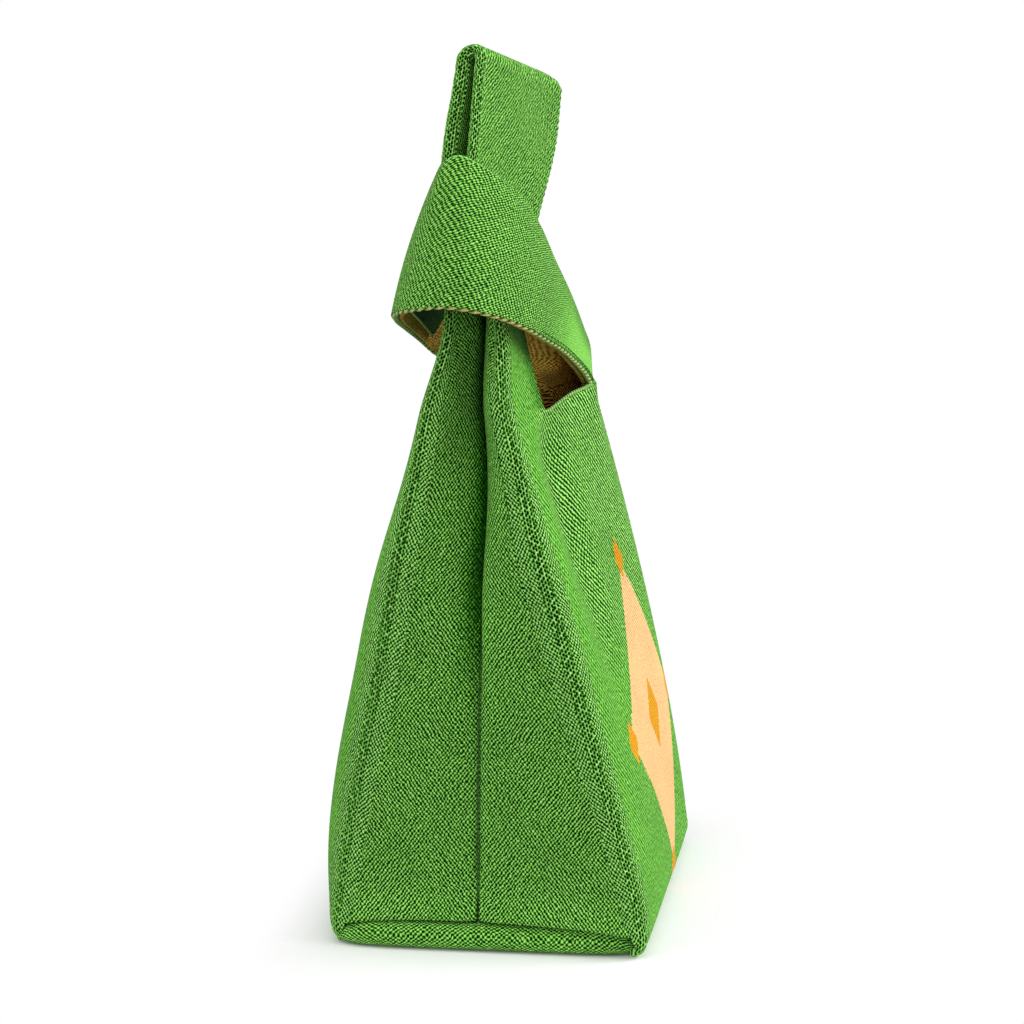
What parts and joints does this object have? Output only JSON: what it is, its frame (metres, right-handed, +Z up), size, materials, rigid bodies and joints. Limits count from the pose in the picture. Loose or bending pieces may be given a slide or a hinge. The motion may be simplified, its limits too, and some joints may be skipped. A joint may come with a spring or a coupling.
{
  "type": "knitted knot handbag",
  "caption": "Small knitted handbag with a boxed base and folded gussets, closed by slipping its long handle through its short handle.",
  "frame": {"origin": "on the floor, under the middle of the base panel", "axes": "+Z up, the front panel faces -Y, and the long handle rises from the left gusset at -X"},
  "size_m": [0.1394, 0.1132, 0.2927],
  "materials": {
    "green_knit": "matt stocking-stitch knit in grass-green yarn",
    "open_stitch": "matt green knit with larger open stitches along the ridges",
    "gold_knit": "matt golden-brown reverse of the double knit",
    "overcast_edge": "overcast stitches that alternate gold and green"
  },
  "bodies": {
    "bag": {"front_panel": "green_knit", "back_panel": "green_knit", "left_gusset_front": "green_knit", "left_gusset_back": "green_knit", "right_gusset_front": "green_knit", "right_gusset_back": "green_knit", "base_panel": "green_knit", "left_base_roll": "green_knit", "right_base_roll": "green_knit", "long_handle_leg_front": "green_knit", "long_handle_leg_back": "green_knit", "corner_welt_front_left": "open_stitch", "corner_welt_back_left": "open_stitch", "corner_welt_front_right": "open_stitch", "corner_welt_back_right": "open_stitch", "left_gusset_seam": "open_stitch", "right_gusset_seam": "open_stitch", "front_lining": "gold_knit", "back_lining": "gold_knit", "left_gusset_lining": "gold_knit", "right_gusset_lining": "gold_knit", "base_lining": "gold_knit", "front_mouth_edge": "overcast_edge", "back_mouth_edge": "overcast_edge", "right_armhole_edge": "overcast_edge"},
    "short_handle": {"short_handle": "green_knit", "short_handle_lining": "gold_knit", "short_handle_lower_edge": "overcast_edge", "short_handle_upper_edge": "open_stitch"},
    "long_handle_neck": {"long_handle_neck_front": "green_knit", "long_handle_neck_back": "green_knit"},
    "long_handle_loop": {"long_handle_band": "green_knit", "long_handle_near_edge": "open_stitch", "long_handle_far_edge": "overcast_edge"}
  },
  "joints": [
    {"name": "short_handle_slide", "type": "slide", "parent": "bag", "child": "short_handle", "axis": [0.3301, -0.0499, 0.9426], "range_m": [0, 0.008]},
    {"name": "long_handle_pull", "type": "slide", "parent": "bag", "child": "long_handle_neck", "axis": [0.3301, -0.0499, 0.9426], "range_m": [0, 0.02]},
    {"name": "long_handle_fold", "type": "hinge", "parent": "long_handle_neck", "child": "long_handle_loop", "pos_m": [-0.01551, 0.00518, 0.24724], "axis": [0.8366, -0.2431, -0.4909], "range_deg": [-45, 45]}
  ]
}
